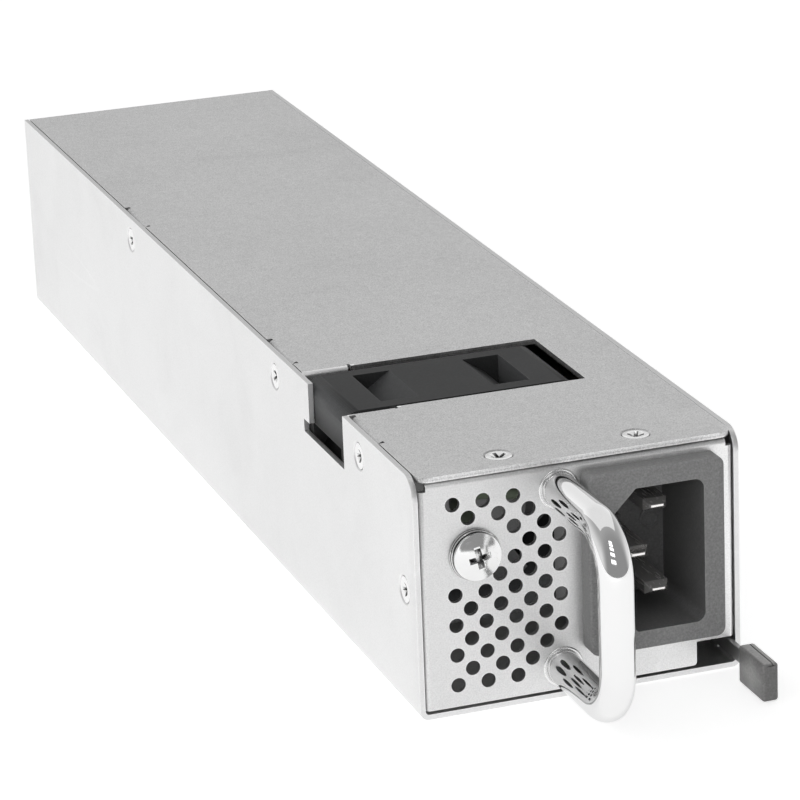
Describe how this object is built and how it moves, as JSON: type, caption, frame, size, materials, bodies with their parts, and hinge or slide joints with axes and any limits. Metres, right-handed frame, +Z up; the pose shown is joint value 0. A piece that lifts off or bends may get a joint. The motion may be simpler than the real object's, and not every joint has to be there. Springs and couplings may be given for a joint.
{
  "type": "hot swap server power supply",
  "caption": "Slim hot swap power supply in a steel case with a mains inlet, pull handle, vented front, release latch, side fan and a rear card edge.",
  "frame": {"origin": "middle of the case's underside", "axes": "+Y from the handle end to the card edge end, +Z up, +X to the right seen from the handle end"},
  "size_m": [0.0563, 0.2811, 0.04],
  "materials": {
    "tray_steel": "zinc plated steel sheet, fine matte grain",
    "cover_steel": "zinc plated steel sheet, fine matte grain",
    "plate_steel": "zinc plated steel sheet, fine matte grain",
    "screw_steel": "zinc plated screw, bright",
    "handle_chrome": "polished chrome",
    "collar_steel": "plated",
    "nut_steel": "plated",
    "inlet_plastic": "moulded black nylon, fine texture",
    "pin_nickel": "nickel plated brass",
    "fan_plastic": "moulded black, satin",
    "rotor_plastic": "moulded black, satin",
    "shaft_steel": "ground steel",
    "magnet_ferrite": "dark ferrite",
    "coil_copper": "enamelled copper wire on a laminated core",
    "bracket_steel": "zinc plated steel sheet",
    "latch_steel": "stainless spring steel strip",
    "thumb_plastic": "moulded dark grey, worn smooth on its faces",
    "spring_wire": "spring wire",
    "board_laminate": "glass laminate with green solder mask",
    "insulating_film": "translucent film",
    "contact_gold": "gold plated copper",
    "fuse_ceramic": "glazed ceramic tube",
    "tinned_metal": "tinned, bright",
    "film_capacitor_box": "yellow resin box",
    "disc_ceramic": "blue epoxy coat",
    "ring_core": "coated ferrite ring",
    "winding_copper": "enamelled copper wire",
    "heat_sink_aluminium": "extruded aluminium",
    "package_epoxy": "moulded epoxy",
    "capacitor_sleeve": "shrunk sleeve over an aluminium can",
    "winding_tape": "taped winding",
    "live_insulation": "brown lead insulation",
    "neutral_insulation": "blue lead insulation",
    "earth_insulation": "green lead insulation with a yellow stripe"
  },
  "bodies": {
    "case": {"chassis_tray": "tray_steel", "top_cover": "cover_steel", "front_plate": "plate_steel", "cover_side_screws": "screw_steel", "cover_front_screws": "screw_steel", "front_plate_screws": "screw_steel", "pull_handle": "handle_chrome", "handle_collars": "collar_steel", "handle_nuts": "nut_steel", "ground_screw": "screw_steel", "ground_washer": "collar_steel", "ground_nut": "nut_steel", "inlet_body": "inlet_plastic", "inlet_line_pins": "pin_nickel", "inlet_earth_pin": "pin_nickel", "fan_frame": "fan_plastic", "fan_coil_core": "coil_copper", "fan_circuit": "board_laminate", "fan_bearings": "shaft_steel", "fan_bracket": "bracket_steel", "fan_screws": "screw_steel", "latch_bracket": "bracket_steel", "latch_pivot_pin": "shaft_steel", "latch_spring": "spring_wire", "main_board": "board_laminate", "insulating_sheet": "insulating_film", "board_standoffs": "nut_steel", "board_screws": "screw_steel", "output_contacts": "contact_gold", "fuse_tube": "fuse_ceramic", "fuse_caps": "tinned_metal", "fuse_clips": "tinned_metal", "film_capacitors": "film_capacitor_box", "disc_capacitors": "disc_ceramic", "line_choke_core": "ring_core", "line_choke_winding": "winding_copper", "boost_choke_core": "ring_core", "boost_choke_winding": "winding_copper", "primary_heat_sink": "heat_sink_aluminium", "primary_transistors": "package_epoxy", "bridge_rectifier": "package_epoxy", "bulk_capacitor": "capacitor_sleeve", "transformer_core": "ring_core", "transformer_winding": "winding_tape", "output_heat_sink": "heat_sink_aluminium", "output_transistors": "package_epoxy", "output_capacitors": "capacitor_sleeve", "output_choke_core": "ring_core", "output_choke_winding": "winding_copper", "control_card": "board_laminate", "live_lead": "live_insulation", "neutral_lead": "neutral_insulation", "earth_lead": "earth_insulation", "earth_lug": "tinned_metal"},
    "fan_rotor": {"fan_impeller": "rotor_plastic", "fan_shaft": "shaft_steel", "fan_magnet": "magnet_ferrite"},
    "latch": {"latch_lever": "latch_steel", "latch_thumb_tab": "thumb_plastic"}
  },
  "joints": [
    {"name": "fan_spin", "type": "hinge", "parent": "case", "child": "fan_rotor", "pos_m": [-0.00625, -0.077, 0.02], "axis": [0, 1, 0], "continuous": true},
    {"name": "latch_press", "type": "hinge", "parent": "case", "child": "latch", "pos_m": [0.02385, -0.076, 0.0048], "axis": [0, 0, -1], "range_deg": [0, 5], "stiffness_Nm_per_rad": 1.2, "springref_deg": -4.58}
  ]
}
